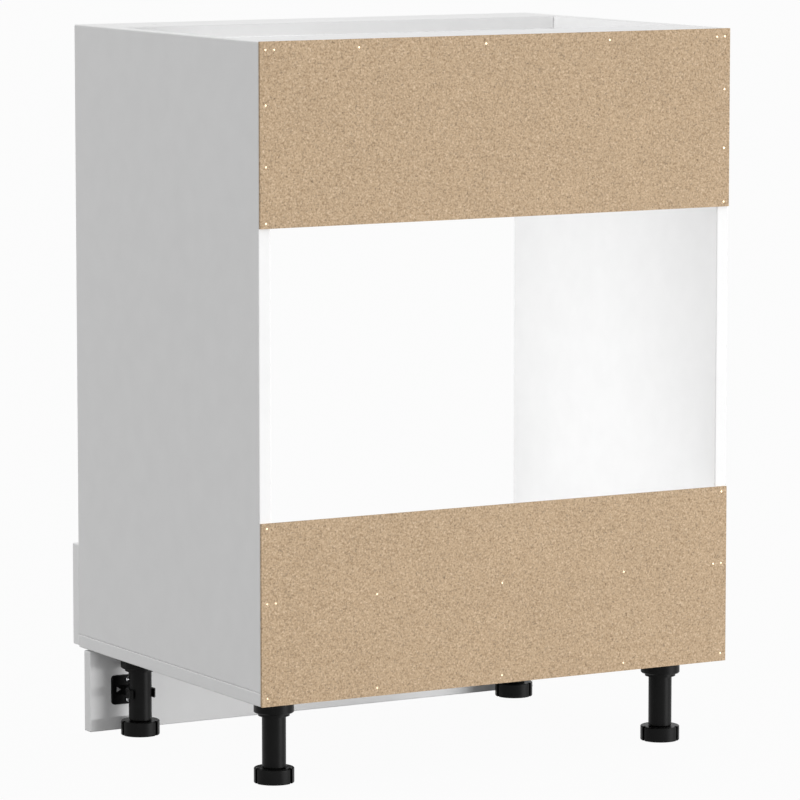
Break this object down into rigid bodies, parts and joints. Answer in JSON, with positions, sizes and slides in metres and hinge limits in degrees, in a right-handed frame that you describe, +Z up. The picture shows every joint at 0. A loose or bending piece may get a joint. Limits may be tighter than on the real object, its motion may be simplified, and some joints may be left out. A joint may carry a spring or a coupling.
{
  "type": "oven cabinet",
  "caption": "White kitchen base unit that houses a built-in oven, with an open back, a low front panel, a clip-on plinth and levelling feet.",
  "frame": {"origin": "on the floor, under the middle of the cabinet's outline", "axes": "+Z up, -Y out of the front, +X to the right as seen from the front"},
  "size_m": [0.6, 0.46, 0.815],
  "materials": {
    "white_board": "white melamine-faced chipboard, satin",
    "front_finish": "white faced board, satin",
    "plinth_finish": "white melamine-faced chipboard, satin",
    "hardboard": "raw brown hardboard, white lacquer on the inner face",
    "black_plastic": "moulded, fine satin",
    "zinc_steel": "bright zinc plated",
    "zinc_alloy": "die cast, dull",
    "beech": "fluted beech, raw"
  },
  "bodies": {
    "cabinet": {"side_panel_left": "white_board", "side_panel_right": "white_board", "bottom_panel": "white_board", "oven_shelf": "white_board", "top_rail_front": "white_board", "top_rail_rear": "white_board", "front_panel": "front_finish", "back_panel_upper": "hardboard", "back_panel_lower": "hardboard", "back_nails_upper": "zinc_steel", "back_nails_lower": "zinc_steel", "connector_screws": "zinc_steel", "cam_bolts": "zinc_steel", "front_bracket_screws": "zinc_steel", "leg_socket_screws": "zinc_steel", "front_bracket_left": "zinc_steel", "front_bracket_right": "zinc_steel", "cam_locks": "zinc_alloy", "dowels": "beech", "leg_socket_front_left": "black_plastic", "leg_tube_front_left": "black_plastic", "leg_socket_front_right": "black_plastic", "leg_tube_front_right": "black_plastic", "leg_socket_rear_left": "black_plastic", "leg_tube_rear_left": "black_plastic", "leg_socket_rear_right": "black_plastic", "leg_tube_rear_right": "black_plastic"},
    "plinth": {"plinth_board": "plinth_finish", "plinth_clip_left": "black_plastic", "plinth_clip_right": "black_plastic", "plinth_clip_screws": "zinc_steel"},
    "spindle_front_left": {"foot_spindle_front_left": "black_plastic"},
    "foot_front_left": {"foot_front_left": "black_plastic"},
    "spindle_front_right": {"foot_spindle_front_right": "black_plastic"},
    "foot_front_right": {"foot_front_right": "black_plastic"},
    "spindle_rear_left": {"foot_spindle_rear_left": "black_plastic"},
    "foot_rear_left": {"foot_rear_left": "black_plastic"},
    "spindle_rear_right": {"foot_spindle_rear_right": "black_plastic"},
    "foot_rear_right": {"foot_rear_right": "black_plastic"}
  },
  "joints": [
    {"name": "foot_front_left_travel", "type": "slide", "parent": "cabinet", "child": "spindle_front_left", "axis": [0, 0, -1], "range_m": [0, 0.03]},
    {"name": "foot_front_left_turn", "type": "hinge", "parent": "spindle_front_left", "child": "foot_front_left", "pos_m": [-0.251, -0.156, 0], "axis": [0, 0, -1], "range_deg": [0, 2701]},
    {"name": "foot_front_right_travel", "type": "slide", "parent": "cabinet", "child": "spindle_front_right", "axis": [0, 0, -1], "range_m": [0, 0.03]},
    {"name": "foot_front_right_turn", "type": "hinge", "parent": "spindle_front_right", "child": "foot_front_right", "pos_m": [0.251, -0.156, 0], "axis": [0, 0, -1], "range_deg": [0, 2701]},
    {"name": "foot_rear_left_travel", "type": "slide", "parent": "cabinet", "child": "spindle_rear_left", "axis": [0, 0, -1], "range_m": [0, 0.03]},
    {"name": "foot_rear_left_turn", "type": "hinge", "parent": "spindle_rear_left", "child": "foot_rear_left", "pos_m": [-0.251, 0.168, 0], "axis": [0, 0, -1], "range_deg": [0, 2701]},
    {"name": "foot_rear_right_travel", "type": "slide", "parent": "cabinet", "child": "spindle_rear_right", "axis": [0, 0, -1], "range_m": [0, 0.03]},
    {"name": "foot_rear_right_turn", "type": "hinge", "parent": "spindle_rear_right", "child": "foot_rear_right", "pos_m": [0.251, 0.168, 0], "axis": [0, 0, -1], "range_deg": [0, 2701]},
    {"name": "plinth_pull", "type": "slide", "parent": "cabinet", "child": "plinth", "axis": [0, -1, 0], "range_m": [0, 0.1]}
  ],
  "couplings": [
    {"joint": "foot_front_left_turn", "follows": "foot_front_left_travel", "rad_per_m": 1570.8},
    {"joint": "foot_front_right_turn", "follows": "foot_front_right_travel", "rad_per_m": 1570.8},
    {"joint": "foot_rear_left_turn", "follows": "foot_rear_left_travel", "rad_per_m": 1570.8},
    {"joint": "foot_rear_right_turn", "follows": "foot_rear_right_travel", "rad_per_m": 1570.8}
  ]
}
